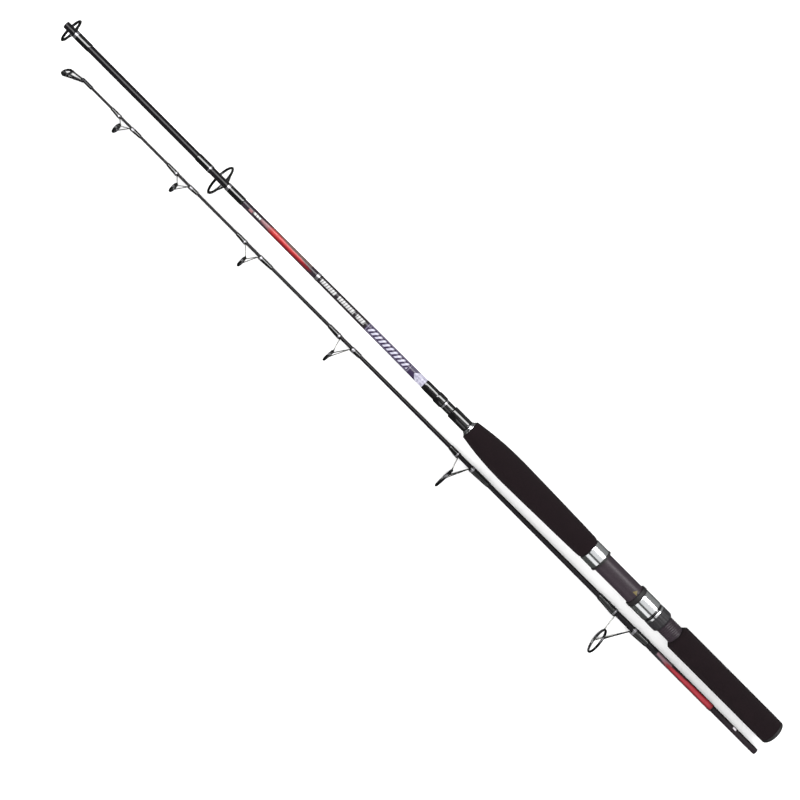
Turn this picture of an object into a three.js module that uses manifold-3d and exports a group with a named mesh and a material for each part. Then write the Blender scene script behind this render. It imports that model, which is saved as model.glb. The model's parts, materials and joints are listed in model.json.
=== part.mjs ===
// A two-piece fishing rod, taken apart and lying on a flat surface: the butt section with its
// handle and reel seat, and beside it the tip section. Millimetres, +Z up. +X runs from the
// butt end towards the tips. The butt section's line guides and reel-foot side face down; the
// tip section lies on its guides, which point along +Y and slightly up.
//
// Each section is built along its own +X axis, starting at its lower end, with its guides
// pointing along its own -Z. Two groups then lay the sections down.

import * as THREE from 'three';
import { mergeVertices } from 'three/addons/utils/BufferGeometryUtils.js';
import Module from 'manifold-3d';

const wasm = await Module();
wasm.setup();

// ---------------------------------------------------------------- driving dimensions

const GAP = 0.3; // clearance kept between neighbouring pieces
const DEGREE = Math.PI / 180;

const BUTT_LENGTH = 1087; // butt section, butt cap to ferrule mouth
const TIP_BLANK_LENGTH = 1057; // tip section's blank, without the tip-top
const SECTION_SPACING = 28.5; // between the axes of the two sections
const TIP_SETBACK = 4.5; // how far behind the butt end the tip section's lower end lies
const TIP_AXIS_HEIGHT = 4.4; // tip section's axis above the surface
const TIP_GUIDE_RISE = 18 * DEGREE; // how far its guides point up from level

const FERRULE_LENGTH = 68; // how far the tip section plugs into the butt section
const FERRULE_MALE_RADIUS = 3.6;
const FERRULE_BORE_RADIUS = 3.75;

// Butt blank: outer radius at distances from its lower end, straight taper between.
const BUTT_TAPER = [
  [0, 6.4], [300, 6.2], [480, 5.8], [550, 5.35], [640, 4.9], [710, 4.5],
  [780, 4.25], [880, 4.1], [BUTT_LENGTH, 4.15],
];
const BUTT_WALL = 1.1; // blank wall in and below the handle
const BORE_START = 60; // length over which the bore narrows behind the ferrule socket

// Tip blank: outer radius above the ferrule.
const TIP_TAPER = [
  [FERRULE_LENGTH + 1, 4.1], [150, 4.05], [195, 3.5], [250, 3.15], [420, 2.7],
  [520, 2.4], [650, 2.05], [790, 1.75], [905, 1.6], [TIP_BLANK_LENGTH, 1.4],
];
const TIP_BORE_RADIUS = 2.5; // hollow of the tip blank at its lower end
const TIP_BORE_DEPTH = 620; // the blank is solid above this

// Handle, from the butt end forwards. Each pair is where a piece starts and ends.
const BUTT_CAP = { start: 0, end: 4, radius: 15, round: 1.6 };
const REAR_GRIP = { start: 4.3, end: 155.3, radius: 15, chamfer: 3 };
const SEAT = { start: 155.6, step: 206, end: 291.8, barrelRadius: 10.85, bodyRadius: 11.7 };
const SEAT_BORE_RADIUS = 8.5;
const FOOT_FLAT = { start: 168, depth: 9.3 }; // flat the reel foot stands on, below the axis
const ARBORS = { rear: [172, 202], front: [246, 282] };
const LOCK_NUT = { start: 175, end: 187.5, radius: 13.3, flutes: 18, fluteDepth: 0.5 };
const NUT_BAND = { start: 187.8, end: 190.9, radius: 13.1 };
const HOOD_END = { start: 191.2, end: 193.4, radius: 12.7 };
const SLIDING_HOOD = { start: 193.7, end: 214.6, radius: 13.3 };
const SLIDING_RIM = { start: 214.9, end: 220, radius: 13.7 };
const FIXED_RIM = { start: 272.2, end: 274.3, radius: 14 };
const FIXED_HOOD = { start: 274.6, end: 291.8, radius: 13.4 };
const FOREGRIP = { start: 292.1, end: 477 };
const WINDING_CHECK = { start: 477.3, end: 480.7, front: 7.4, back: 9.6 };
const FORE_COLLAR = { start: 481, end: 505.2, radius: 7.2, chamfer: 0.8 };
const HANDLE_WRAP = { start: 505.5, end: 547.5, radius: 5.95 };
const TRIM_SLEEVE = { start: 517.5, end: 529, radius: 6.8 };

const POCKET = { halfWidth: 7.8, depth: 15.4 }; // room for the reel foot under each hood
const HOOD_WALL = 1.6; // hood wall outside the pocket

// Foregrip outline: [distance from its rear face, radius].
const FOREGRIP_OUTLINE = [
  [0, 12.7], [2, 13.6], [8, 14.1], [45, 15], [88, 15.9], [118, 16.5],
  [140, 16.2], [162, 14.5], [176, 12.6], [FOREGRIP.end - FOREGRIP.start, 11.4],
];

// Line guides. `ring` is where the ring's centre stands along its section, `height` is from
// the blank's axis to that centre, `radius` is the frame hoop's, and `lean` turns the ring's
// far edge towards the butt. `front` and `rear` are the thread wraps over the two feet.
const STRIPPER_GUIDE = {
  name: 'butt_guide_1', ring: 863, height: 44, radius: 20, lean: 6 * DEGREE,
  front: [870.5, 891.5], rear: [823, 847.5], wire: 0.85, foot: 1.1, segments: 24,
};
const FERRULE_GUIDE = {
  name: 'butt_guide_2', ring: 1090, height: 37.5, radius: 15.4, lean: -6 * DEGREE,
  rear: [1051.5, 1074], wire: 0.8, foot: 1.1, segments: 24,
};
const TIP_GUIDES = [
  { ring: 215, height: 38.9, radius: 16.2, lean: 7 * DEGREE, front: [219, 246.5],
    rear: [170, 193.5], wire: 0.75, foot: 1.0, segments: 24 },
  { ring: 462, height: 30.8, radius: 13.5, lean: -2 * DEGREE, front: [467, 481],
    rear: [420, 448], wire: 0.65, foot: 0.9, segments: 20 },
  { ring: 648.5, height: 25.1, radius: 8.3, lean: -3 * DEGREE, front: [653.5, 672],
    rear: [622.5, 636], wire: 0.55, foot: 0.8, segments: 16 },
  { ring: 790.5, height: 19.4, radius: 7.1, lean: 2 * DEGREE, front: [802, 817],
    rear: [761.5, 781], wire: 0.5, foot: 0.7, segments: 16 },
  { ring: 902.5, height: 14.5, radius: 6.7, lean: 0, front: [910, 926.5],
    rear: [879, 891.5], wire: 0.5, foot: 0.7, segments: 16 },
  { ring: 994, height: 12.7, radius: 6.7, lean: 0, front: [1000, 1014.5],
    rear: [969, 983.5], wire: 0.5, foot: 0.7, segments: 16 },
];
const TIP_TOP = {
  ring: 1077.5, height: 7.3, radius: 6.7, lean: -28 * DEGREE, wire: 0.55, segments: 16,
  tube: { start: 1046, end: 1061, radius: 2.1, boreRadius: 1.7 },
};
const HOOP = { thickness: 1, width: 2.2 }; // guide frame's hoop around the ceramic ring
const CERAMIC = { thickness: 1.1, width: 3 };
const WRAP_SKIN = 0.45; // thread and resin over a guide foot
const WRAP_SIDE = 0.5; // the same beside the blank, where there is no foot

// ---------------------------------------------------------------- materials

const material = (color, roughness, metalness) =>
  new THREE.MeshStandardMaterial({ color, roughness, metalness });

const MATERIALS = {
  blank: material(0x131214, 0.25, 0),
  foam: material(0x1f1b1d, 0.95, 0),
  rubber: material(0x161416, 0.85, 0),
  seat: material(0x2c262b, 0.45, 0),
  chrome: material(0xc4c6c8, 0.18, 1),
  trim: material(0x0c0b0c, 0.3, 0),
  nut: material(0x2a282b, 0.5, 0),
  silver: material(0xd8d8dc, 0.25, 1),
  arbor: material(0x5a5148, 0.9, 0),
  wrap: material(0x0b0b0c, 0.12, 0),
  frame: material(0x1a1a1c, 0.3, 0.8),
  ceramic: material(0x2a2a2c, 0.2, 0),
};

// ---------------------------------------------------------------- solids

// A closed triangle mesh with shared vertices, no collapsed faces and its faces pointing out.
function closedMesh(source) {
  const geometry = source.clone();
  geometry.deleteAttribute('normal');
  geometry.deleteAttribute('uv');
  const merged = mergeVertices(geometry, 1e-4);
  const positions = merged.attributes.position.array;
  const corner = (i) => new THREE.Vector3().fromArray(positions, 3 * i);
  const triangles = [];
  let volume = 0;
  for (let i = 0; i < merged.index.count; i += 3) {
    const [a, b, c] = [0, 1, 2].map((k) => merged.index.getX(i + k));
    if (a === b || b === c || c === a) continue;
    triangles.push([a, b, c]);
    volume += corner(a).dot(corner(b).cross(corner(c)));
  }
  const index = triangles.flatMap(([a, b, c]) => (volume > 0 ? [a, b, c] : [a, c, b]));
  return { positions, index };
}

function toManifold(geometry) {
  const { positions, index } = closedMesh(geometry);
  return new wasm.Manifold(new wasm.Mesh({
    numProp: 3,
    vertProperties: new Float32Array(positions),
    triVerts: new Uint32Array(index),
  }));
}

function fromManifold(manifold) {
  const { vertProperties, triVerts } = manifold.getMesh();
  const geometry = new THREE.BufferGeometry();
  geometry.setAttribute('position', new THREE.BufferAttribute(vertProperties, 3));
  geometry.setIndex(new THREE.BufferAttribute(triVerts, 1));
  return geometry;
}

function join(...geometries) {
  return fromManifold(geometries.map(toManifold).reduce((whole, piece) => whole.add(piece)));
}

function cut(geometry, ...tools) {
  return fromManifold(tools.map(toManifold).reduce((whole, tool) => whole.subtract(tool), toManifold(geometry)));
}

// ---------------------------------------------------------------- shapes

// A solid turned about the X axis from [x, radius] points. The points close on themselves
// or start and end on the axis.
function turned(profile, segments = 24) {
  const points = profile.map(([x, radius]) => new THREE.Vector2(radius, x));
  return new THREE.LatheGeometry(points, segments).rotateZ(-Math.PI / 2);
}

// A tube about the X axis: its outside follows the outline, its bore is straight.
function sleeve(outline, boreRadius, segments) {
  const [first] = outline[0];
  const [last] = outline.at(-1);
  return turned([[first, boreRadius], ...outline, [last, boreRadius], [first, boreRadius]], segments);
}

function plainSleeve({ start, end, radius }, boreRadius, segments) {
  return sleeve([[start, radius], [end, radius]], boreRadius, segments);
}

// A straight or bent wire of round section.
function wire(points, radius, stepsPerSpan = 1) {
  const section = new THREE.Shape();
  section.absarc(0, 0, radius, 0, 2 * Math.PI, false);
  const path = points.length === 2
    ? new THREE.LineCurve3(...points)
    : new THREE.QuadraticBezierCurve3(...points);
  const steps = points.length === 2 ? 1 : 2 * stepsPerSpan;
  return new THREE.ExtrudeGeometry(section, { steps, curveSegments: 3, extrudePath: path });
}

// A bar with a side outline of [x, z] points and a width along Y.
function bar(outline, width) {
  const side = new THREE.Shape(outline.map(([x, z]) => new THREE.Vector2(x, z)));
  return new THREE.ExtrudeGeometry(side, { depth: width, bevelEnabled: false })
    .rotateX(Math.PI / 2)
    .translate(0, width / 2, 0);
}

// The radius of a tapered blank at a distance along it.
function taperRadius(taper, x) {
  const next = Math.max(1, taper.findIndex(([at]) => at >= x));
  const [x0, r0] = taper[next - 1];
  const [x1, r1] = taper[next];
  return THREE.MathUtils.mapLinear(x, x0, x1, r0, r1);
}

function mesh(name, geometry, surface) {
  const { positions, index } = closedMesh(geometry);
  const solid = new THREE.BufferGeometry();
  solid.setAttribute('position', new THREE.Float32BufferAttribute(positions, 3));
  solid.setIndex(index);
  solid.computeVertexNormals();
  const part = new THREE.Mesh(solid, surface);
  part.name = name;
  return part;
}

// ---------------------------------------------------------------- blanks

function buttBlank() {
  const mouth = BUTT_LENGTH - FERRULE_LENGTH - 6;
  const lower = BUTT_CAP.end + GAP;
  const outside = [[lower, taperRadius(BUTT_TAPER, lower)], ...BUTT_TAPER.slice(1)];
  const bore = [
    [BUTT_LENGTH, FERRULE_BORE_RADIUS],
    [mouth, FERRULE_BORE_RADIUS],
    [mouth - BORE_START, taperRadius(BUTT_TAPER, mouth - BORE_START) - BUTT_WALL],
    [lower, BUTT_TAPER[0][1] - BUTT_WALL],
  ];
  return turned([...outside, ...bore, outside[0]], 20);
}

function tipBlank() {
  const outside = [[0, FERRULE_MALE_RADIUS], [FERRULE_LENGTH, FERRULE_MALE_RADIUS], ...TIP_TAPER];
  const bore = [[TIP_BORE_DEPTH, 0], [TIP_BORE_DEPTH - 5, 0.6], [0, TIP_BORE_RADIUS]];
  return turned([...bore, ...outside, [TIP_BLANK_LENGTH, 0]], 20);
}

// ---------------------------------------------------------------- handle

function rearGrip() {
  const { start, end, radius, chamfer } = REAR_GRIP;
  const outline = [[start, radius], [end - chamfer, radius], [end, radius - chamfer]];
  return sleeve(outline, BUTT_TAPER[0][1] + GAP);
}

function buttCap() {
  const { start, end, radius, round } = BUTT_CAP;
  return turned([[start, 0], [start, radius - round], [start + round / 2, radius - round / 4],
    [start + round, radius], [end, radius], [end, 0]]);
}

function foregrip() {
  const outline = FOREGRIP_OUTLINE.map(([x, radius]) => [FOREGRIP.start + x, radius]);
  return sleeve(outline, BUTT_TAPER[1][1] + GAP);
}

// The reel seat's tube: a threaded barrel behind, a smooth body in front, and the flat that
// the reel foot stands on along its underside.
function reelSeat() {
  const { start, step, end, barrelRadius, bodyRadius } = SEAT;
  const tube = sleeve([[start, barrelRadius], [step, barrelRadius], [step, bodyRadius], [end, bodyRadius]],
    SEAT_BORE_RADIUS);
  const belowFlat = bar([[FOOT_FLAT.start, -FOOT_FLAT.depth], [end + 1, -FOOT_FLAT.depth],
    [end + 1, -2 * bodyRadius], [FOOT_FLAT.start, -2 * bodyRadius]], 3 * bodyRadius);
  return cut(tube, belowFlat);
}

// A round outline with a square-sided pouch below, drawn in the Z-Y plane: the outside of a
// reel-seat hood, or with smaller sizes its inside.
function hoodOutline(Outline, radius, halfWidth, depth, corner) {
  const angle = Math.asin(halfWidth / radius);
  const outline = new Outline();
  outline.absarc(0, 0, radius, angle, 2 * Math.PI - angle, false);
  outline.lineTo(depth - corner, -halfWidth);
  outline.quadraticCurveTo(depth, -halfWidth, depth, corner - halfWidth);
  outline.lineTo(depth, halfWidth - corner);
  outline.quadraticCurveTo(depth, halfWidth, depth - corner, halfWidth);
  return outline;
}

function hoodTube({ start, end, radius }, pocketed = true) {
  const extra = radius - SLIDING_HOOD.radius;
  const outside = hoodOutline(THREE.Shape, radius, POCKET.halfWidth + HOOD_WALL + extra,
    POCKET.depth + HOOD_WALL + extra, 2.5);
  if (pocketed) {
    outside.holes.push(hoodOutline(THREE.Path, SEAT.bodyRadius + GAP, POCKET.halfWidth, POCKET.depth, 1));
  } else {
    const bore = new THREE.Path();
    bore.absarc(0, 0, SEAT.barrelRadius + GAP + 0.1, 0, 2 * Math.PI, false);
    outside.holes.push(bore);
  }
  return new THREE.ExtrudeGeometry(outside, { depth: end - start, bevelEnabled: false, curveSegments: 10 })
    .rotateY(Math.PI / 2)
    .translate(start, 0, 0);
}

// The lock nut: a fluted ring with a chamfered rear edge.
function lockNut() {
  const { start, end, radius, flutes, fluteDepth } = LOCK_NUT;
  const outline = new THREE.Shape();
  const steps = 3 * flutes;
  for (let i = 0; i < steps; i++) {
    const reach = i % 3 === 0 ? radius - fluteDepth : radius;
    const angle = (2 * Math.PI * i) / steps;
    outline[i === 0 ? 'moveTo' : 'lineTo'](reach * Math.cos(angle), reach * Math.sin(angle));
  }
  const bore = new THREE.Path();
  bore.absarc(0, 0, SEAT.barrelRadius + GAP + 0.1, 0, 2 * Math.PI, false);
  outline.holes.push(bore);
  const body = new THREE.ExtrudeGeometry(outline, { depth: end - start - 2, bevelEnabled: false, curveSegments: 12 })
    .rotateY(Math.PI / 2)
    .translate(start + 2, 0, 0);
  const chamfer = sleeve([[start, radius - 1.8], [start + 2.2, radius - fluteDepth - 0.1]],
    SEAT.barrelRadius + GAP + 0.1, 24);
  return join(body, chamfer);
}

function handleParts() {
  const blankRadius = (x) => taperRadius(BUTT_TAPER, x);
  const arbor = ([start, end]) =>
    plainSleeve({ start, end, radius: SEAT_BORE_RADIUS - GAP }, BUTT_TAPER[0][1] + GAP, 16);
  const check = WINDING_CHECK;
  const collar = FORE_COLLAR;
  const wrap = HANDLE_WRAP;
  return {
    fixed: [
      mesh('butt_cap', buttCap(), MATERIALS.rubber),
      mesh('rear_grip', rearGrip(), MATERIALS.foam),
      mesh('reel_seat', reelSeat(), MATERIALS.seat),
      mesh('rear_arbor', arbor(ARBORS.rear), MATERIALS.arbor),
      mesh('front_arbor', arbor(ARBORS.front), MATERIALS.arbor),
      mesh('fixed_hood_rim', hoodTube(FIXED_RIM), MATERIALS.trim),
      mesh('fixed_hood', hoodTube(FIXED_HOOD), MATERIALS.chrome),
      mesh('foregrip', foregrip(), MATERIALS.foam),
      mesh('winding_check', sleeve([[check.start, check.back], [check.end, check.front]],
        blankRadius(check.start) + GAP), MATERIALS.silver),
      mesh('fore_collar', sleeve([[collar.start, collar.radius], [collar.end - collar.chamfer, collar.radius],
        [collar.end, collar.radius - collar.chamfer]], blankRadius(collar.start) + GAP), MATERIALS.trim),
      mesh('handle_wrap', plainSleeve(wrap, blankRadius(wrap.start) + 0.1, 20), MATERIALS.wrap),
      mesh('trim_sleeve', plainSleeve(TRIM_SLEEVE, wrap.radius + 0.2, 20), MATERIALS.trim),
    ],
    hood: [
      mesh('sliding_hood', hoodTube(SLIDING_HOOD), MATERIALS.chrome),
      mesh('sliding_hood_rim', hoodTube(SLIDING_RIM), MATERIALS.trim),
      mesh('sliding_hood_end', hoodTube(HOOD_END, false), MATERIALS.trim),
    ],
    nut: [
      mesh('lock_nut', lockNut(), MATERIALS.nut),
      mesh('lock_nut_band', plainSleeve(NUT_BAND, SEAT.barrelRadius + GAP + 0.1), MATERIALS.silver),
    ],
  };
}

// ---------------------------------------------------------------- line guides

// Moves a piece turned about X at the origin to a guide's ring, leaning as the ring does.
function atRing(geometry, guide) {
  return geometry.rotateY(guide.lean).translate(guide.ring, 0, -guide.height);
}

// A point on a guide's hoop: `around` is measured from the hoop's nearest point to the blank,
// and `forward` is along the hoop's own axis.
function hoopPoint(guide, around, forward) {
  const reach = guide.radius - HOOP.thickness / 2;
  return new THREE.Vector3(forward, reach * Math.sin(around), reach * Math.cos(around))
    .applyAxisAngle(new THREE.Vector3(0, 1, 0), guide.lean)
    .add(new THREE.Vector3(guide.ring, 0, -guide.height));
}

function hoop(guide) {
  const { thickness, width } = HOOP;
  const inner = guide.radius - thickness;
  const bevel = 0.35;
  return atRing(sleeve([[-width / 2, guide.radius - bevel], [bevel - width / 2, guide.radius],
    [width / 2 - bevel, guide.radius], [width / 2, guide.radius - bevel]], inner, guide.segments), guide);
}

function ceramicRing(guide) {
  const outer = guide.radius - HOOP.thickness - 0.15;
  const { thickness, width } = CERAMIC;
  const lip = 0.4;
  return atRing(turned([[-width / 2, outer], [width / 2, outer], [width / 2, outer - lip],
    [width / 6, outer - thickness], [-width / 6, outer - thickness], [-width / 2, outer - lip],
    [-width / 2, outer]], guide.segments), guide);
}

// The space the ceramic ring and the line need, cut out of the frame.
function ringClearance(guide) {
  const half = 3;
  const radius = guide.radius - HOOP.thickness;
  return atRing(turned([[-half, 0], [-half, radius], [half, radius], [half, 0]], guide.segments), guide);
}

// A flat foot on the blank's underside, thick at its root and thin at its toe.
function footOutline(guide, root, toe, blankRadius, spare = 0) {
  const top = -(blankRadius + GAP) + spare;
  const end = toe + Math.sign(toe - root) * spare;
  return [[root, top], [end, top], [end, top - 0.35 - 2 * spare], [root, top - guide.foot - 2 * spare]];
}

function foot(guide, root, toe, blankRadius, spare = 0) {
  return bar(footOutline(guide, root, toe, blankRadius, spare), 2 * guide.wire + 0.8 + 2 * spare);
}

// A thread wrap over a guide foot. It swells downwards over the foot and is open at the end
// where the foot's leg comes out.
function footWrap(guide, [start, end], taper, footTool) {
  const startRadius = taperRadius(taper, start);
  const endRadius = taperRadius(taper, end);
  const widest = Math.max(startRadius, endRadius);
  const below = guide.foot + 2 * GAP + WRAP_SKIN + 0.1;
  const above = 0.35 + guide.wire / 2;
  const radius = widest + (above + below) / 2;
  const drop = (below - above) / 2;
  const ramp = Math.min(4, (end - start) / 4);
  const bore = widest + 0.12;
  const outline = [[start, bore + 0.3], [start + ramp, radius], [end - ramp, radius], [end, bore + 0.3]];
  const wrap = sleeve(outline, bore, 16);
  const narrowing = (bore + WRAP_SIDE) / radius;
  const position = wrap.attributes.position;
  for (let i = 0; i < position.count; i++) {
    const onSwell = Math.hypot(position.getY(i), position.getZ(i)) > radius - 0.01;
    if (!onSwell) continue;
    position.setY(i, position.getY(i) * narrowing);
    position.setZ(i, position.getZ(i) - drop);
  }
  return cut(wrap, footTool);
}

// Where the two feet of a guide start and stop, inside their wraps.
function feetOf(guide, taper) {
  const feet = [];
  if (guide.front) {
    const [near, far] = guide.front;
    feet.push({ wrap: 'front', root: near - 1, toe: far - 4, span: guide.front });
  }
  const [far, near] = guide.rear;
  feet.push({ wrap: 'rear', root: near + 1, toe: far + 4, span: guide.rear });
  return feet.map((entry) => {
    const blank = Math.max(...entry.span.map((x) => taperRadius(taper, x)));
    return { ...entry, blank };
  });
}

// The wire legs: one from the front foot to the hoop's near side, and two from the rear foot
// to the hoop's flanks.
function legs(guide, feet) {
  const parts = [];
  for (const { wrap, root, blank } of feet) {
    const base = new THREE.Vector3(root, 0, -(blank + GAP + guide.foot / 2));
    if (wrap === 'front') {
      parts.push(wire([base, hoopPoint(guide, 0, 0)], guide.wire));
      continue;
    }
    for (const side of [-1, 1]) {
      const end = hoopPoint(guide, side * 80 * DEGREE, -HOOP.width / 4);
      const bend = base.clone().lerp(end, 0.5).add(new THREE.Vector3(0, side * guide.radius * 0.12, 0));
      parts.push(wire([base, bend, end], guide.wire, 2));
    }
  }
  return parts;
}

function guideParts(guide, taper) {
  const feet = feetOf(guide, taper);
  const footBars = feet.map(({ root, toe, blank }) => foot(guide, root, toe, blank));
  const frame = cut(join(hoop(guide), ...legs(guide, feet), ...footBars), ringClearance(guide));
  const wraps = feet.map(({ wrap, root, toe, blank, span }) => {
    const outward = Math.sign(root - toe) * 4;
    const tool = foot(guide, root + outward, toe, blank, 0.2);
    return mesh(`${guide.name}_${wrap}_wrap`, footWrap(guide, span, taper, tool), MATERIALS.wrap);
  });
  return [
    mesh(`${guide.name}_frame`, frame, MATERIALS.frame),
    mesh(`${guide.name}_ring`, ceramicRing(guide), MATERIALS.ceramic),
    ...wraps,
  ];
}

function tipTopParts() {
  const { tube } = TIP_TOP;
  const socket = turned([[TIP_BLANK_LENGTH + GAP, 0], [TIP_BLANK_LENGTH + GAP, tube.boreRadius],
    [tube.start, tube.boreRadius], [tube.start, tube.radius], [tube.end - 1, tube.radius],
    [tube.end, tube.radius - 0.6], [tube.end, 0]], 16);
  const upper = wire([new THREE.Vector3(tube.end - 1, 0, 0), hoopPoint(TIP_TOP, 0, 0)], TIP_TOP.wire);
  const braces = [-1, 1].map((side) => wire([
    new THREE.Vector3(tube.end - 3, side * 0.8, -tube.radius + 0.5),
    hoopPoint(TIP_TOP, side * 140 * DEGREE, 0),
  ], TIP_TOP.wire));
  const frame = cut(join(socket, upper, ...braces, hoop(TIP_TOP)), ringClearance(TIP_TOP));
  return [
    mesh('tip_top_frame', frame, MATERIALS.frame),
    mesh('tip_top_ring', ceramicRing(TIP_TOP), MATERIALS.ceramic),
  ];
}

// ---------------------------------------------------------------- the two sections

// The butt section rests on the rear edge of its cap and on the stripper guide's hoop.
function layButtSection(section) {
  const drop = STRIPPER_GUIDE.height + STRIPPER_GUIDE.radius;
  const pitch = Math.atan((drop - BUTT_CAP.radius) / STRIPPER_GUIDE.ring);
  section.rotation.y = -pitch;
  section.position.z = BUTT_CAP.radius * Math.cos(pitch);
}

function layTipSection(section) {
  section.rotation.x = Math.PI / 2 + TIP_GUIDE_RISE;
  section.position.set(-TIP_SETBACK, SECTION_SPACING, TIP_AXIS_HEIGHT);
}

function buttSection() {
  const handle = handleParts();
  const section = new THREE.Group();
  section.add(mesh('butt_blank', buttBlank(), MATERIALS.blank));
  section.add(...handle.fixed, ...handle.hood, ...handle.nut);
  section.add(...guideParts(STRIPPER_GUIDE, BUTT_TAPER));
  section.add(...guideParts(FERRULE_GUIDE, BUTT_TAPER));
  layButtSection(section);
  return section;
}

function tipSection() {
  const section = new THREE.Group();
  section.add(mesh('tip_blank', tipBlank(), MATERIALS.blank));
  TIP_GUIDES.forEach((guide, i) => {
    section.add(...guideParts({ ...guide, name: `tip_guide_${i + 1}` }, TIP_TAPER));
  });
  section.add(...tipTopParts());
  layTipSection(section);
  return section;
}

// The frame's origin is under the middle of the rod, on the surface it lies on.
const rod = new THREE.Group();
rod.add(buttSection(), tipSection());
rod.updateMatrixWorld(true);
const box = new THREE.Box3().setFromObject(rod, true);
rod.position.set(-(box.min.x + box.max.x) / 2, -(box.min.y + box.max.y) / 2, -box.min.z);

export default rod;
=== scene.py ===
# The looks of a two-piece boat fishing rod, taken apart and lying on a pale surface.
#
# Each section of the rod has a frame of its own: x runs along the section from its lower end,
# and -z points towards its line guides. Pieces are built in these frames, in metres, and take
# their places and sizes from the CAD nodes that they stand for.

import json
import math

import bmesh
import bpy
from mathutils import Matrix, Vector, noise


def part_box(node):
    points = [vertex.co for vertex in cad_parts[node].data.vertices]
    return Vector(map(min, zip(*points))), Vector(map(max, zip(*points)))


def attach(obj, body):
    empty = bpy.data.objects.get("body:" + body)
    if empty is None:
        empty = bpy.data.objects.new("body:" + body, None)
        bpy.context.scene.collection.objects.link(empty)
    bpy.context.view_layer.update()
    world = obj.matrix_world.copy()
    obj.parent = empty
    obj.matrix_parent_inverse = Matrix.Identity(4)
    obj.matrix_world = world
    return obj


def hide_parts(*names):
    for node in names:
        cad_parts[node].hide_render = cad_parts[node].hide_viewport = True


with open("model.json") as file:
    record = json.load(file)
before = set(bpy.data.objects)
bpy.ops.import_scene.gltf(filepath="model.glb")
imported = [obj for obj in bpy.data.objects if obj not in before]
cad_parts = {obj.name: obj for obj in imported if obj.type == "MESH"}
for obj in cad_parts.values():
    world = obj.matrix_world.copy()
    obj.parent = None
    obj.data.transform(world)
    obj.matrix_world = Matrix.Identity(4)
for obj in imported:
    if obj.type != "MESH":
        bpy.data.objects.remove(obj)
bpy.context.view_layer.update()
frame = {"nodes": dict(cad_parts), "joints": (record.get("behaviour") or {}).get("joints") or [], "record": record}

MM = 0.001
TURN = 2 * math.pi
CLEARANCE = 0.3 * MM  # between neighbouring pieces
SHARP_ANGLE = math.radians(32)  # faces that meet at more than this keep a crisp edge
FOAM_SHARP_ANGLE = math.radians(60)

# Handle
SEAT_BORE = 8.5 * MM
THREAD_PITCH = 2.5 * MM
THREAD_DEPTH = 0.7 * MM
BARREL_END = 206 * MM  # where the threaded barrel steps up to the smooth seat body
FOOT_FLAT = 9.3 * MM  # from the axis down to the flat under the reel foot
FOOT_FLAT_START = 168 * MM
POUCH_SHORTER = 7.6 * MM  # how much less a hood pouch is in half width than in depth
POUCH_CORNER = 2.5 * MM
HOOD_INSIDE = (12 * MM, 15.4 * MM, 1 * MM)  # radius, pouch depth and corner inside the hoods
HOOD_FACETS = 56
NUT_BORE = 11.25 * MM
NUT_PLAIN = 11.9 * MM  # nearer the axis than this the nut has no flutes or knurling
NUT_FLUTES = 18
NUT_FLUTE_DEPTH = 0.5 * MM
KNURL_PITCH = 1.1 * MM
KNURL_DEPTH = 0.14 * MM
FOAM_GRAIN = 0.07 * MM  # height of the foam's coarse grain
INDEX_MARK = 223.8 * MM  # the middle of the seat's index mark, along the section
INDEX_MARK_REACH = 3.2 * MM
INDEX_MARK_TOP = -0.43  # the angle of its tip

# Line guides
HOOP_THICKNESS = 1 * MM
HOOP_WIDTH = 2.2 * MM
RING_GAP = 0.15 * MM  # between a guide's hoop and its ceramic ring
RING_THICKNESS = 1.1 * MM
RING_WIDTH = 3 * MM
WIRE_BASE = 0.3 * MM  # a guide's wire radius is this much plus a share of its hoop radius
WIRE_SHARE = 0.0275
FLANK = math.radians(80)  # where the rear legs meet the hoop, from its side near the blank
FOOT_SIDES = 16
TIP_TOP_BRACE = math.radians(140)
TIP_TOP_STOUTER = 0.5 * MM  # the tip-top's wires beyond those of a guide its size

# Wraps and decoration
THREAD = 0.3 * MM  # spacing of the wrapping thread
RESIN = 0.45 * MM  # resin and thread over the blank
TRIM_INSET = 1.3 * MM  # black thread between a wrap's end at the ring and its metallic band
TRIM_WIDTH = {"front": 1.8 * MM, "rear": 3.2 * MM}
FILM = 0.05 * MM  # printed film over the blank

# Where the prints start and end along their sections
ARROW_SPAN = (547.6 * MM, 570 * MM)
BAR_SPAN = (570 * MM, 636 * MM)
DASH_SPAN = (636 * MM, 708 * MM)
SILVER_BAND_SPAN = (708.3 * MM, 712.3 * MM)
FLAME_SPAN = (713 * MM, 822 * MM)
TIP_FLAME_SPAN = (70 * MM, 157 * MM)

# The ferrule
SOCKET_DEPTH = 74 * MM
FERRULE_LENGTH = 68 * MM
TIP_BORE = 2.4 * MM
TIP_BORE_DEPTH = 40 * MM


# ---- frames and CAD measures

def section_matrix(start, along, guides):
    """The frame of a section from its lower end, its direction and the side its guides are on."""
    x = Vector(along).normalized()
    z = -Vector(guides).normalized()
    matrix = Matrix((x, z.cross(x), z)).transposed().to_4x4()
    matrix.translation = start
    return matrix


def butt_matrix():
    mounts = {mount["name"]: mount for mount in frame["record"]["mounts"]}
    joints = {joint["name"]: joint for joint in frame["joints"]}
    return section_matrix(mounts["butt_end"]["pos_m"], joints["nut_turn"]["axis"],
                          mounts["reel_foot_seat"]["axis"])


def tip_matrix():
    low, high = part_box("tip_blank")
    start = Vector((low.x, (low.y + high.y) / 2, (low.z + high.z) / 2))
    ring_low, ring_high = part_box("tip_guide_1_ring")
    guides = (ring_low + ring_high) / 2 - start
    guides.x = 0
    return section_matrix(start, (1, 0, 0), guides)


def points_of(node, section):
    """A CAD node's corners in its section's frame."""
    inverse = section.matrix.inverted()
    return [inverse @ vertex.co for vertex in frame["nodes"][node].data.vertices]


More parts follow.
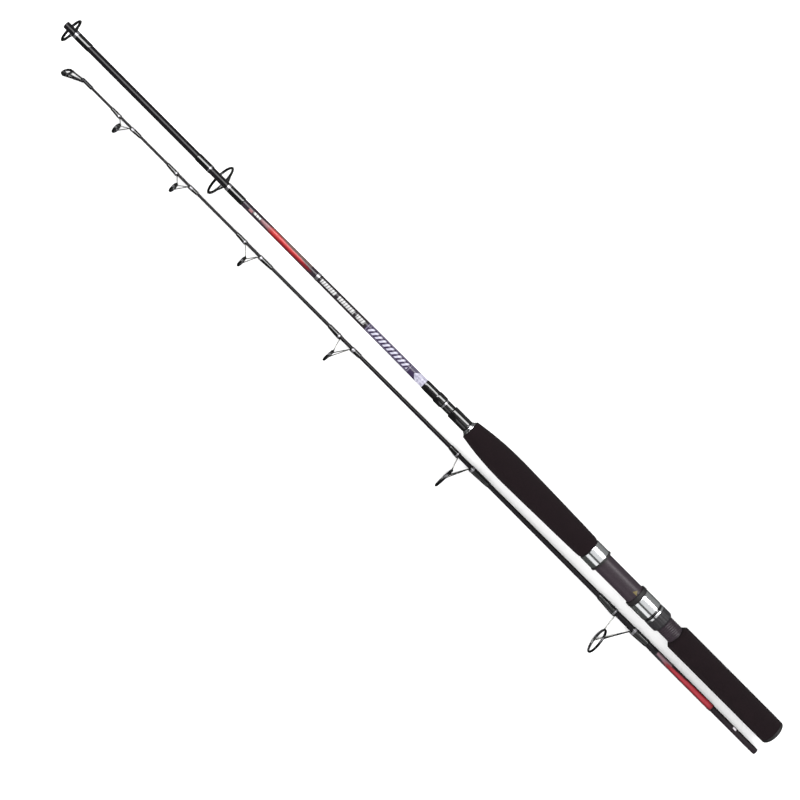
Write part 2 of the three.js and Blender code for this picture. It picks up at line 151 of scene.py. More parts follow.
def span(node, section):
    """Where a CAD node starts and ends along its section."""
    along = [point.x for point in points_of(node, section)]
    return min(along), max(along)


def reach(node, section):
    """A CAD node's greatest distance from its section's axis."""
    return max(math.hypot(point.y, point.z) for point in points_of(node, section))


def outline_of(node, section):
    """The outside of a turned CAD node, as sorted (x, radius) pairs."""
    inverse = section.matrix.inverted()
    rotation = inverse.to_3x3()
    rings = {}
    for vertex in frame["nodes"][node].data.vertices:
        point = inverse @ vertex.co
        normal = rotation @ vertex.normal
        if point.y * normal.y + point.z * normal.z > 0.5 * MM:
            x = round(point.x, 5)
            rings[x] = max(rings.get(x, 0), math.hypot(point.y, point.z))
    return sorted(rings.items())


def radius_at(outline, x):
    """The radius of an outline at x, straight between its points."""
    for (x0, r0), (x1, r1) in zip(outline, outline[1:]):
        if x <= x1:
            return r0 + (r1 - r0) * max(0, x - x0) / (x1 - x0)
    return outline[-1][1]


class Section:
    """One half of the rod: its frame, the body it rides on and the outside of its blank."""

    def __init__(self, matrix, body, blank):
        self.matrix = matrix
        self.body = body
        self.blank = outline_of(blank, self)


BUTT = Section(butt_matrix(), "butt_section", "butt_blank")
TIP = Section(tip_matrix(), "tip_section", "tip_blank")


# ---- meshes

def loft(rings, joined=False):
    """Vertices and faces between rings of points. Joined, the last ring meets the first;
    otherwise both ends are capped."""
    count = len(rings[0])
    vertices = [point for ring in rings for point in ring]
    steps = [(k, k + 1) for k in range(len(rings) - 1)]
    if joined:
        steps.append((len(rings) - 1, 0))
    faces = [(a * count + i, a * count + (i + 1) % count, b * count + (i + 1) % count, b * count + i)
             for a, b in steps for i in range(count)]
    if not joined:
        last = (len(rings) - 1) * count
        faces.append(tuple(range(count)))
        faces.append(tuple(range(last, last + count)))
    return vertices, faces


def merged(*solids):
    """One list of vertices and faces from several."""
    vertices, faces = [], []
    for more_vertices, more_faces in solids:
        base = len(vertices)
        vertices += more_vertices
        faces += [tuple(base + i for i in face) for face in more_faces]
    return vertices, faces


def make_piece(name, solid, section, looks, replaces=(), sharp=SHARP_ANGLE, body=None):
    """A mesh object in its section's frame that stands for the CAD nodes it replaces, if any. Its
    looks are names or materials, and it rides on the section's body unless another is given."""
    mesh = bpy.data.meshes.new(name)
    mesh.from_pydata(solid[0], [], solid[1])
    shape = bmesh.new()
    shape.from_mesh(mesh)
    bmesh.ops.remove_doubles(shape, verts=shape.verts, dist=1e-7)
    bmesh.ops.recalc_face_normals(shape, faces=shape.faces)
    shape.to_mesh(mesh)
    shape.free()
    mesh.shade_smooth()
    mesh.set_sharp_from_angle(angle=sharp)
    for look in looks:
        mesh.materials.append(LOOKS.get(look, look))
    piece = bpy.data.objects.new(name, mesh)
    piece.matrix_world = section.matrix
    bpy.context.scene.collection.objects.link(piece)
    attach(piece, body or section.body)
    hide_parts(*replaces)
    return piece


def paint(piece, index, chosen):
    """Gives one of the piece's materials to the faces whose centre passes a test."""
    for polygon in piece.data.polygons:
        if chosen(polygon.center):
            polygon.material_index = index


def curve_through(start, bend, end, steps=12):
    """Points on a smooth curve from start to end that is drawn towards a bend."""
    points = []
    for i in range(steps + 1):
        t = i / steps
        points.append(start * (1 - t) ** 2 + bend * 2 * t * (1 - t) + end * t ** 2)
    return points


def filleted(points, size, closed=True, steps=4):
    """A profile with its corners rounded off; the ends of an open one stay."""
    count = len(points)
    result = []
    for k, (x, r) in enumerate(points):
        if not closed and k in (0, count - 1):
            result.append((x, r))
            continue
        corner = Vector((x, r))
        before = Vector(points[k - 1]) - corner
        after = Vector(points[(k + 1) % count]) - corner
        start = corner + before.normalized() * min(size, before.length / 2)
        end = corner + after.normalized() * min(size, after.length / 2)
        result += [(point.x, point.y) for point in curve_through(start, corner, end, steps)]
    return result


def softened(points, passes=3):
    """A profile with its corners cut back again and again into a smooth curve."""
    for _ in range(passes):
        cut = [points[0]]
        for (x0, r0), (x1, r1) in zip(points, points[1:]):
            cut.append((0.75 * x0 + 0.25 * x1, 0.75 * r0 + 0.25 * r1))
            cut.append((0.25 * x0 + 0.75 * x1, 0.25 * r0 + 0.75 * r1))
        points = cut + [points[-1]]
    return points


def divided(points, step):
    """A profile with points added so that none are further apart than a step."""
    result = [points[0]]
    for (x0, r0), (x1, r1) in zip(points, points[1:]):
        count = max(1, math.ceil(math.hypot(x1 - x0, r1 - r0) / step))
        result += [(x0 + (x1 - x0) * i / count, r0 + (r1 - r0) * i / count) for i in range(1, count + 1)]
    return result


def about_axis(x, angle, radius):
    """The point at x that is at an angle from +z and a distance from the x axis."""
    return Vector((x, radius * math.sin(angle), radius * math.cos(angle)))


def turned(profile, sides=96, shape=None):
    """Rings of a profile turned about x. A shape moves each point: it gets x, the angle from
    the top and the radius, and gives the radius or a point."""
    rings = []
    for x, r in profile:
        ring = []
        for i in range(sides):
            angle = TURN * i / sides
            radius = shape(x, angle, r) if shape else r
            ring.append(about_axis(x, angle, radius))
        rings.append(ring)
    return rings


def tube(start, end, radius, bore, edge=0.3 * MM, sides=96):
    """A plain tube about x with rounded edges."""
    profile = [(start, bore), (start, radius), (end, radius), (end, bore)]
    return loft(turned(filleted(profile, edge), sides), joined=True)


def swept(points, radii, sides=14):
    """A wire through points, with a radius at each."""
    rings = []
    for k, point in enumerate(points):
        ahead = points[min(k + 1, len(points) - 1)] - points[max(k - 1, 0)]
        side = Vector((0, 0, 1)).cross(ahead)
        if side.length < 1e-3 * ahead.length:
            side = Vector((0, 1, 0))
        side.normalize()
        over = ahead.normalized().cross(side)
        rings.append([point + (side * math.cos(TURN * i / sides)
                               + over * math.sin(TURN * i / sides)) * radii[k] for i in range(sides)])
    return loft(rings)


# ---- materials

class Look:
    """A material whose nodes are added one at a time. Positions are in the piece's own frame."""

    def __init__(self, name, **settings):
        self.material = bpy.data.materials.new(name)
        self.material.use_nodes = True
        self.tree = self.material.node_tree
        self.shader = self.tree.nodes["Principled BSDF"]
        for key, value in settings.items():
            self.shader.inputs[key.replace("_", " ").title().replace("Ior", "IOR")].default_value = value
        self.place = self.add("ShaderNodeTexCoord").outputs["Object"]

    def add(self, kind, inputs=(), **properties):
        node = self.tree.nodes.new(kind)
        for key, value in properties.items():
            setattr(node, key, value)
        for key, value in dict(inputs).items():
            self.put(node.inputs[key], value)
        return node

    def put(self, socket, value):
        if isinstance(value, bpy.types.NodeSocket):
            self.tree.links.new(value, socket)
        elif socket.type == "RGBA":
            socket.default_value = (*value, 1)
        else:
            socket.default_value = value

    def drive(self, **sockets):
        """Links outputs to the shader's inputs."""
        for key, value in sockets.items():
            self.put(self.shader.inputs[key.replace("_", " ").title()], value)
        return self.material

    def surface(self, base, dull, relief):
        """Sets the colour, the roughness as (value, low, high) and the relief as (height, distance,
        strength)."""
        return self.drive(base_color=base, roughness=self.scale_to(*dull), normal=self.bump(*relief))

    def calc(self, operation, a, b=0.0):
        return self.add("ShaderNodeMath", {0: a, 1: b}, operation=operation).outputs[0]

    def plus(self, a, b):
        return self.calc("ADD", a, b)

    def minus(self, a, b):
        return self.calc("SUBTRACT", a, b)

    def times(self, a, b):
        return self.calc("MULTIPLY", a, b)

    def larger(self, a, b):
        return self.calc("MAXIMUM", a, b)

    def dot(self, direction):
        """How far the surface point lies along a direction."""
        return self.add("ShaderNodeVectorMath", {0: self.place, 1: direction},
                        operation="DOT_PRODUCT").outputs["Value"]

    def stretched(self, stretch):
        """The surface point with each axis scaled."""
        return self.add("ShaderNodeVectorMath", {0: self.place, 1: stretch},
                        operation="MULTIPLY").outputs[0]

    def noise(self, scale, detail=3.0, vector=None):
        return self.add("ShaderNodeTexNoise", {"Vector": vector or self.place, "Scale": scale,
                                               "Detail": detail}).outputs["Fac"]

    def cells(self, scale):
        return self.add("ShaderNodeTexVoronoi", {"Vector": self.place, "Scale": scale}).outputs["Distance"]

    def rise(self, value, low, high):
        """0 before low and 1 after high, smooth in between. It falls if low is past high."""
        return self.add("ShaderNodeMapRange", {"Value": value, "From Min": low, "From Max": high},
                        interpolation_type="SMOOTHSTEP").outputs["Result"]

    def band(self, value, low, high, soft):
        """1 from low to high and 0 outside, with soft edges."""
        return self.times(self.rise(value, low - soft, low + soft),
                          self.rise(value, high + soft, high - soft))

    def mix(self, factor, a, b):
        node = self.add("ShaderNodeMix", {0: factor, 6: a, 7: b}, data_type="RGBA")
        return node.outputs[2]

    def scale_to(self, value, low, high):
        """A 0 to 1 value spread over another range."""
        return self.add("ShaderNodeMapRange", {"Value": value, "To Min": low,
                                               "To Max": high}).outputs["Result"]

    def bump(self, height, distance, strength):
        inputs = {"Height": height, "Distance": distance, "Strength": strength}
        return self.add("ShaderNodeBump", inputs).outputs["Normal"]


def foam_look():
    look = Look("eva_foam", specular_ior_level=0.05, sheen_weight=0.015, sheen_roughness=0.5)
    grain = look.cells(1500)
    fine = look.noise(3800, 4)
    cloud = look.noise(90, 3)
    base = look.mix(cloud, (0.0038, 0.0016, 0.0024), (0.008, 0.004, 0.0054))
    pits = look.rise(grain, 0.1, 0.45)
    worn = look.mix(look.times(fine, 0.5), base, (0.017, 0.0115, 0.013))
    pitted = look.mix(look.scale_to(pits, 0.35, 0), worn, (0.004, 0.003, 0.0035))
    height = look.plus(pits, look.times(fine, 0.6))
    return look.surface(pitted, (cloud, 0.82, 0.98), (height, 0.12 * MM, 0.7))


def rubber_look():
    look = Look("cap_rubber", specular_ior_level=0.35)
    cloud = look.noise(140, 3)
    stipple = look.cells(2600)
    base = look.mix(cloud, (0.006, 0.005, 0.0055), (0.014, 0.012, 0.013))
    return look.surface(base, (cloud, 0.55, 0.75), (stipple, 0.05 * MM, 0.5))


def nut_look():
    look = Look("nut_graphite", specular_ior_level=0.3)
    speckle = look.noise(2200, 4)
    cloud = look.noise(250, 2)
    base = look.mix(look.rise(speckle, 0.3, 0.75), (0.008, 0.007, 0.0085), (0.032, 0.03, 0.034))
    return look.surface(base, (cloud, 0.4, 0.6), (speckle, 0.06 * MM, 0.6))


def metal_look(name, pale, dark, smooth, rough, lines=0.0):
    """Polished or turned metal with faint wear. Lines are fine grooves around the axis."""
    look = Look(name, metallic=1.0)
    cloud = look.noise(160, 4)
    scratches = look.noise(1, 2, look.stretched((2600, 120, 120)))
    base = look.mix(cloud, pale, dark)
    height = look.plus(look.times(scratches, 0.3 + lines), look.times(cloud, 0.2))
    worn = look.times(scratches, look.rise(cloud, 0.2, 0.8))
    return look.surface(base, (worn, smooth, rough), (height, 0.01 * MM, 0.3 + lines))


def gloss_look(name, dark, pale, roughness=0.12):
    """Glossy black moulding with a faint orange-peel ripple and dulled patches."""
    look = Look(name, coat_weight=1.0, coat_roughness=0.05, coat_ior=1.65, specular_ior_level=0.05)
    cloud = look.noise(220, 4)
    ripple = look.noise(700, 2)
    base = look.mix(cloud, dark, pale)
    return look.surface(base, (cloud, roughness, roughness + 0.15), (ripple, 0.02 * MM, 0.4))


def spiral(look, pitch, along):
    """A wave that runs round and along a section, once each pitch."""
    around = look.calc("ARCTAN2", look.dot((0, 1, 0)), look.dot((0, 0, 1)))
    turns = look.plus(look.calc("DIVIDE", along, pitch), look.calc("DIVIDE", around, TURN))
    return look.calc("SINE", look.times(turns, TURN))


def blank_look():
    """Lacquered graphite: the tape that bound it while it cured has left faint spiral ridges."""
    look = Look("blank_lacquer", coat_weight=0.25, coat_roughness=0.15, specular_ior_level=0.08)
    along = look.dot((1, 0, 0))
    ridges = look.rise(spiral(look, 4.5 * MM, along), 0.2, 0.95)
    cloth = look.times(spiral(look, 0.9 * MM, along), spiral(look, -0.9 * MM, along))
    cloud = look.noise(45, 3)
    base = look.mix(cloud, (0.003, 0.0026, 0.0034), (0.01, 0.0085, 0.0105))
    woven = look.mix(look.scale_to(cloth, 0, 0.35), base, (0.017, 0.015, 0.018))
    return look.surface(woven, (cloud, 0.16, 0.32), (ridges, 0.05 * MM, 0.35))


def thread_look(name, dark, pale, metallic=0.0):
    """Winding thread under clear resin: ridges show through it, and the resin stays smooth."""
    look = Look(name, metallic=metallic, coat_weight=1.0, coat_roughness=0.04, coat_ior=1.65,
                specular_ior_level=0.08)
    along = look.dot((1, 0, 0))
    wave = look.calc("SINE", look.times(along, TURN / THREAD))
    strand = look.scale_to(wave, 0, 1)
    cloud = look.noise(400, 3)
    twist = look.noise(1, 2, look.stretched((3000, 700, 700)))
    base = look.mix(look.times(strand, twist), dark, pale)
    resin = look.bump(cloud, 0.05 * MM, 0.25)
    return look.drive(base_color=base, roughness=look.scale_to(cloud, 0.25, 0.45),
                      normal=look.bump(strand, 0.04 * MM, 0.5), coat_normal=resin)


def ceramic_look():
    look = Look("ring_ceramic", specular_ior_level=0.4, coat_weight=0.3, coat_roughness=0.04)
    cloud = look.noise(500, 4)
    specks = look.cells(2400)
    base = look.mix(cloud, (0.008, 0.008, 0.009), (0.024, 0.024, 0.027))
    flecks = look.scale_to(look.rise(specks, 0.12, 0.05), 0, 0.3)
    flecked = look.mix(flecks, base, (0.06, 0.06, 0.065))
    return look.drive(base_color=flecked, roughness=look.scale_to(cloud, 0.08, 0.2))


def cork_look():
    look = Look("arbor_cork")
    cells = look.cells(700)
    cloud = look.noise(300, 3)
    base = look.mix(cells, (0.16, 0.1, 0.06), (0.34, 0.24, 0.15))
    mottled = look.mix(cloud, base, (0.22, 0.15, 0.09))
    return look.surface(mottled, (cloud, 0.8, 0.95), (cells, 0.2 * MM, 0.5))


LOOKS = {
    "foam": foam_look(),
    "rubber": rubber_look(),
    "nut": nut_look(),
    "chrome": metal_look("hood_chrome", (0.88, 0.89, 0.9), (0.76, 0.78, 0.8), 0.14, 0.24),
    "silver": metal_look("trim_silver", (0.85, 0.85, 0.87), (0.62, 0.62, 0.65), 0.16, 0.34, 0.5),
    "wire": metal_look("guide_wire", (0.2, 0.2, 0.19), (0.12, 0.12, 0.115), 0.2, 0.36),
    "hoop": metal_look("guide_hoop", (0.05, 0.05, 0.053), (0.022, 0.022, 0.024), 0.16, 0.34),
    "trim": gloss_look("trim_gloss", (0.0012, 0.0012, 0.0014), (0.0036, 0.0034, 0.0037)),
    "blank": blank_look(),
    "thread": thread_look("black_thread", (0.001, 0.001, 0.0012), (0.008, 0.0075, 0.0085)),
    "metal_thread": thread_look("silver_thread", (0.16, 0.155, 0.17), (0.5, 0.49, 0.52), 0.8),
    "ceramic": ceramic_look(),
    "cork": cork_look(),
}


# ---- printed decoration

class Print(Look):
    """A look with marks at places on a section. `along` is the distance along the section and
    `around` the angle from the side that faces up as the rod lies."""

    def __init__(self, name, section, coat_weight=0.3, coat_roughness=0.15):
        super().__init__(name, coat_weight=coat_weight, coat_roughness=coat_roughness,
                         specular_ior_level=0.15)
        rotation = section.matrix.inverted().to_3x3()
        up = rotation @ Vector((0, 0, 1))
        up.x = 0
        up.normalize()
        across = up.cross(Vector((1, 0, 0)))
        self.along = self.dot((1, 0, 0))
        self.around = self.calc("ARCTAN2", self.dot(across), self.dot(up))

    def between(self, start, end, first, last):
        """A value that changes evenly from first to last between two places along the section."""
        return self.add("ShaderNodeMapRange", {"Value": self.along, "From Min": start, "From Max": end,
                                               "To Min": first, "To Max": last}).outputs["Result"]

    def lens(self, start, end, widths, middles=(0.0, 0.0), soft=0.12, ragged=0.0, fade=0.4 * MM):
        """A long patch. Its half width and its middle, in radians, change from start to end, and
        it fades out over a length at both."""
        share = self.between(start, end, *widths)
        middle = self.between(start, end, *middles)
        aside = self.calc("ABSOLUTE", self.minus(self.around, middle))
        if ragged:
            streaks = self.noise(1, 3, self.stretched((70, 420, 420)))
            aside = self.plus(aside, self.times(self.minus(streaks, 0.5), ragged))
        inside = self.rise(self.minus(share, aside), -soft, soft)
        low, high = min(start, end), max(start, end)
        return self.times(inside, self.band(self.along, low, high, fade))

    def bars(self, start, end, pitch, share, half_width, slant, soft=0.06):
        """Slanted bars side by side from start to end."""
        leaning = self.plus(self.calc("DIVIDE", self.along, pitch), self.times(self.around, slant))
        phase = self.calc("FRACT", leaning)
        bar = self.band(phase, (1 - share) / 2, (1 + share) / 2, soft)
        return self.times(bar, self.lens(start, end, (half_width, half_width), soft=soft))

    def finish(self, base):
        """Gives a print its colour under a slightly uneven gloss."""
        cloud = self.noise(260, 3)
        return self.surface(base, (cloud, 0.12, 0.3), (cloud, 0.02 * MM, 0.3))


PLUM_BLACK = (0.014, 0.01, 0.014)
DEEP_PURPLE = (0.03, 0.02, 0.05)
LAVENDER = (0.42, 0.41, 0.5)
PALE_GREY = (0.42, 0.42, 0.42)
RED = (0.4, 0.03, 0.028)
DARK_RED = (0.16, 0.006, 0.01)
PINK = (0.3, 0.14, 0.15)


def seat_look():
    """Moulded graphite with a plum cast, fine flecks, faint lines along its length and a small
    olive index mark in front of the sliding hood."""
    look = Print("seat_graphite", BUTT, coat_weight=0.15, coat_roughness=0.3)
    flecks = look.noise(2600, 2)
    lines = look.noise(1, 3, look.stretched((25, 1900, 1900)))
    cloud = look.noise(60, 2)
    base = look.mix(look.rise(flecks, 0.35, 0.7), (0.017, 0.011, 0.015), (0.045, 0.034, 0.043))
    shaded = look.mix(look.scale_to(cloud, 0, 0.5), base, (0.028, 0.017, 0.024))
    aside = look.calc("ABSOLUTE", look.minus(look.along, INDEX_MARK))
    aside = look.calc("DIVIDE", aside, INDEX_MARK_REACH)
    up = look.calc("DIVIDE", look.around, INDEX_MARK_TOP)
    sides = look.rise(look.plus(aside, up), 1.05, 0.95)
    mark = look.times(sides, look.rise(up, -0.05, 0.05))
    height = look.plus(lines, look.times(flecks, 0.4))
    marked = look.mix(mark, shaded, (0.13, 0.1, 0.035))
    return look.surface(marked, (lines, 0.34, 0.5), (height, 0.03 * MM, 0.5))


def ferrule_look():
    """The ground, unlacquered end that plugs into the butt section, with a pale index dot."""
    look = Print("ferrule_graphite", TIP, coat_weight=0.1, coat_roughness=0.3)
    rings = look.noise(1, 3, look.stretched((4200, 60, 60)))
    cloud = look.noise(120, 3)
    base = look.mix(cloud, (0.008, 0.0045, 0.006), (0.015, 0.009, 0.012))
    rubbed = look.times(look.rise(look.along, 0.066, 0.03), look.scale_to(rings, 0, 0.5))
    worn = look.mix(rubbed, base, (0.03, 0.021, 0.026))
    dot = look.lens(33 * MM, 37.5 * MM, (0.4, 0.4), (-0.6, -0.6), soft=0.08)
    dotted = look.mix(dot, worn, (0.7, 0.66, 0.7))
    return look.surface(dotted, (rings, 0.28, 0.55), (rings, 0.02 * MM, 0.5))


def arrow_print():
    """A pale arrowhead pointing up the rod, over a dark purple ground with painted light on the side that faces
    the light.
    """
    look = Print("arrow_print", BUTT)
    mottle = look.noise(420, 3)
    pale = look.mix(look.rise(mottle, 0.35, 0.7), LAVENDER, (0.24, 0.23, 0.3))
    block = look.lens(ARROW_SPAN[0], 556 * MM, (1.7, 1.9))
    head = look.lens(556 * MM, 563.5 * MM, (1.5, 0.05))
    # Painted light: the ground is painted lighter round the side of the blank that faces the light.
    ground = look.mix(look.rise(look.around, -0.2, -0.9), DEEP_PURPLE, (0.09, 0.08, 0.12))
    return look.finish(look.mix(look.larger(block, head), ground, pale))


def bar_print():
    """A row of slanted lavender bars inside a thin outline."""
    look = Print("bar_print", BUTT)
    bars = look.bars(573 * MM, 632 * MM, 5.8 * MM, 0.5, 0.62, -0.7)
    outer = look.lens(570.5 * MM, 635 * MM, (1.12, 1.12), soft=0.05)
    inner = look.lens(571.6 * MM, 633.9 * MM, (0.86, 0.86), soft=0.05)
    outline = look.minus(outer, inner)
    marks = look.larger(bars, look.times(outline, 0.28))
    return look.finish(look.mix(marks, DEEP_PURPLE, LAVENDER))


def dash_print():
    """Three groups of small pale dashes."""
    look = Print("dash_print", BUTT)
    ground = look.mix(look.noise(60, 2), PLUM_BLACK, (0.022, 0.02, 0.022))
    groups = [(639.5, 651.5), (655.5, 679), (683.5, 705)]
    marks = None
    for start, end in groups:
        dashes = look.bars(start * MM, end * MM, 3.3 * MM, 0.78, 0.5, -0.35)
        marks = look.larger(marks, dashes) if marks else dashes
    return look.finish(look.mix(marks, ground, PALE_GREY))


def flame_print():
    """A red flame that thins out down the rod, with a smoky tail, a few dashes above it and painted light along
    the side that faces the light.
    """
    look = Print("flame_print", BUTT)
    ground = look.mix(look.noise(70, 2), PLUM_BLACK, (0.03, 0.021, 0.03))
    smoke = look.lens(779 * MM, 796 * MM, (0.6, 0.3), ragged=0.6, soft=0.3)
    # Painted light: a greyish band along the side of the blank that faces the light.
    painted_light_band = look.lens(781 * MM, 722 * MM, (0.8, 0.4), (-0.9, -0.9), soft=0.35)
    edge = look.lens(782 * MM, 722 * MM, (0.9, 0.3), (0.15, 0.3), ragged=0.8, soft=0.3, fade=5 * MM)
    flame = look.lens(781 * MM, 733 * MM, (0.5, 0.2), (-0.05, 0), ragged=0.7, soft=0.25, fade=6 * MM)
    spot = look.lens(808 * MM, 813 * MM, (0.35, 0.3), (0.2, 0.2))
    dashes = look.bars(796.5 * MM, 807 * MM, 3.6 * MM, 0.82, 0.3, 0.2)
    base = look.mix(look.times(smoke, 0.7), ground, PINK)
    # Lays the painted light over the side that faces the light.
    base = look.mix(look.times(painted_light_band, 0.5), base, (0.2, 0.14, 0.12))
    base = look.mix(edge, base, DARK_RED)
    base = look.mix(flame, base, RED)
    base = look.mix(look.times(spot, 0.8), base, PINK)
    return look.finish(look.mix(dashes, base, (0.5, 0.5, 0.48)))


def tip_flame_print():
    """The same flame above the tip section's ferrule, slanting across the blank."""
    look = Print("tip_flame_print", TIP)
    ground = look.mix(look.noise(70, 2), (0.01, 0.01, 0.012), (0.02, 0.018, 0.022))
    smoke = look.lens(134 * MM, 156 * MM, (0.6, 0.4), (-0.1, -0.2), ragged=0.6, soft=0.35)
    edge = look.lens(TIP_FLAME_SPAN[0], 142 * MM, (1.05, 0.5), (-0.1, 0.3), ragged=0.7, soft=0.3,
                     fade=6 * MM)
    flame = look.lens(72 * MM, 134 * MM, (0.6, 0.25), (-0.2, 0.1), ragged=0.8, soft=0.25, fade=6 * MM)
    base = look.mix(look.times(smoke, 0.6), ground, (0.3, 0.17, 0.2))
    base = look.mix(edge, base, DARK_RED)
    return look.finish(look.mix(flame, base, (0.3, 0.025, 0.035)))


# ---- handle

def butt_blank():
    """The tube of the butt section, with its socket for the tip section open at the front."""
    end = BUTT.blank[-1][0]
    points = points_of("butt_blank", BUTT)
    bore = min(math.hypot(p.y, p.z) for p in points if p.x > end - MM)
    socket = end - SOCKET_DEPTH
    inside = [(end, bore), (socket, bore), (socket - 2 * MM, 0)]
    profile = [(BUTT.blank[0][0], 0), *BUTT.blank, *inside]
    rounded = filleted(divided(profile, 40 * MM), 0.35 * MM, closed=False)
    make_piece("butt_blank_tube", loft(turned(rounded, 64)), BUTT, ["blank"], ["butt_blank"])


def butt_cap():
    start, end = span("butt_cap", BUTT)
    radius = reach("butt_cap", BUTT)
    ring = 0.5 * MM
    face = [(start, 0)]
    for at in (0.35, 0.5, 0.65):
        face += [(start, at * radius - ring), (start + ring, at * radius), (start, at * radius + ring)]
    profile = [*face, (start, radius - 1.2 * MM), (start + 1.2 * MM, radius), (end, radius), (end, 0)]
    rounded = filleted(profile, 0.5 * MM, closed=False)
    make_piece("butt_cap_rubber", loft(turned(rounded, 128)), BUTT, ["rubber"], ["butt_cap"])


def foam_grain(x, angle, radius):
    """The grip's radius with the foam's coarse grain."""
    at = about_axis(x, angle, radius)
    return radius + FOAM_GRAIN * (noise.noise(at / (1.4 * MM)) + 0.7 * noise.noise(at / (9 * MM)))


def grip(name, node, profile):
    """A foam sleeve on the blank, with its outside given as a profile."""
    bore = radius_at(BUTT.blank, profile[0][0]) + CLEARANCE
    closed = [(profile[0][0], bore), *profile, (profile[-1][0], bore)]
    grained = turned(divided(closed, 1.3 * MM), 144, foam_grain)
    piece = make_piece(name, loft(grained, joined=True), BUTT, ["foam"], [node],
                       sharp=FOAM_SHARP_ANGLE)


def grips():
    rear = outline_of("rear_grip", BUTT)
    grip("rear_grip_foam", "rear_grip", filleted([rear[0], rear[0], *rear[1:]], 0.8 * MM, closed=False))
    front = outline_of("foregrip", BUTT)
    (start, first), (end, last) = front[0], front[-1]
    smooth = softened([(start + 0.6 * MM, first), *front[1:-1], (end - 0.6 * MM, last)])
    grip("foregrip_foam", "foregrip", [(start, first - 0.6 * MM), *smooth, (end, last - 0.6 * MM)])


def seat_surface(x, angle, radius):
    """The seat's outside: a helical thread on the barrel, and the flat under the reel foot."""
    outside = radius > SEAT_BORE + MM
    if outside and x < BARREL_END - MM:
        turn = x / THREAD_PITCH - angle / TURN
        wave = 0.5 + 0.5 * math.cos(TURN * turn)
        radius -= THREAD_DEPTH * (1 - wave ** 0.6)
    below = -radius * math.cos(angle)
    if outside and x >= FOOT_FLAT_START and below > FOOT_FLAT:
        radius *= FOOT_FLAT / below
    return radius


def reel_seat():
    start, end = span("reel_seat", BUTT)
    outline = outline_of("reel_seat", BUTT)
    barrel = max(r for x, r in outline if x < BARREL_END - MM)
    body = max(r for x, r in outline if x > BARREL_END + MM)
    outside = [(start, barrel), (BARREL_END, barrel), (BARREL_END, body), (end, body)]
    profile = filleted([(start, SEAT_BORE), *outside, (end, SEAT_BORE)], 0.4 * MM)
    fine = []
    for (x0, r0), (x1, r1) in zip(profile, profile[1:] + profile[:1]):
        on_barrel = max(x0, x1) <= BARREL_END and min(r0, r1) > SEAT_BORE + MM
        step = THREAD_PITCH / 12 if on_barrel else 3 * MM
        fine += divided([(x0, r0), (x1, r1)], step)[:-1]
    make_piece("reel_seat_shell", loft(turned(fine, 120, seat_surface), joined=True), BUTT,
               [seat_look()], ["reel_seat"])


def hood_outline(radius, depth, corner):
    """A hood's cross-section as (y, z) vectors: round above, with a pouch for the reel foot below."""
    half = depth - POUCH_SHORTER
    angle = math.asin(half / radius)
    points = []
    for i in range(HOOD_FACETS + 1):
        t = angle + (TURN - 2 * angle) * i / HOOD_FACETS
        points.append(Vector((radius * math.sin(t), -radius * math.cos(t))))
    for side in (-1, 1):
        straight = Vector((side * half, corner - depth))
        flat = Vector((side * (half - corner), -depth))
        start, end = (straight, flat) if side < 0 else (flat, straight)
        points += curve_through(start, Vector((side * half, -depth)), end, 6)
    return points


def hood_rings(start, end, radius, depth, inside, edge):
    """Rings along the outside of a hood with rounded edges, and back along its inside."""
    rings = []
    rounding = ((0, edge), (0.3 * edge, 0.3 * edge), (edge, 0), (1.6 * edge, 0))
    ends = [(start + step, inset) for step, inset in rounding]
    ends += [(end - step, inset) for step, inset in reversed(rounding)]
    for x, inset in ends:
        outline = hood_outline(radius - inset, depth - inset, POUCH_CORNER)
        rings.append([Vector((x, y, z)) for y, z in outline])
    for x in (end, start):
        rings.append([Vector((x, y, z)) for y, z in inside])
    return rings


def hood_piece(name, node, body, look, edge=0.4 * MM, bore=None):
    """A reel-seat hood or one of its rims. With a bore it closes round the barrel instead of
    leaving room for the reel foot."""
    start, end = span(node, BUTT)
    points = points_of(node, BUTT)
    radius = max(p.z for p in points)
    depth = -min(p.z for p in points)
    inside = hood_outline(*HOOD_INSIDE)
    if bore:
        inside = [point.normalized() * bore for point in hood_outline(radius, depth, POUCH_CORNER)]
    rings = hood_rings(start, end, radius, depth, inside, edge)
    make_piece(name, loft(rings, joined=True), BUTT, [look], [node], body=body)


def hoods():
    hood_piece("fixed_hood_shell", "fixed_hood", "butt_section", "chrome")
    hood_piece("fixed_hood_rim_trim", "fixed_hood_rim", "butt_section", "rubber")
    hood_piece("sliding_hood_shell", "sliding_hood", "sliding_hood", "chrome")
    hood_piece("sliding_hood_rim_trim", "sliding_hood_rim", "sliding_hood", "rubber",
               edge=0.8 * MM)
    bore = reach("reel_seat", BUTT) - 0.45 * MM
    hood_piece("sliding_hood_end_trim", "sliding_hood_end", "sliding_hood", "trim", bore=bore)


def nut_surface(x, angle, radius):
    """Grip flutes with fine crossed knurling between them, on the outside of the lock nut."""
    if radius < NUT_PLAIN:
        return radius
    flute = max(0, math.cos(NUT_FLUTES * angle)) ** 5
    across = 4 * NUT_FLUTES * angle
    along = TURN * x / KNURL_PITCH
    knurl = abs(math.sin((across + along) / 2)) * abs(math.sin((across - along) / 2))
    return radius - NUT_FLUTE_DEPTH * flute - KNURL_DEPTH * (1 - flute) * (1 - knurl)


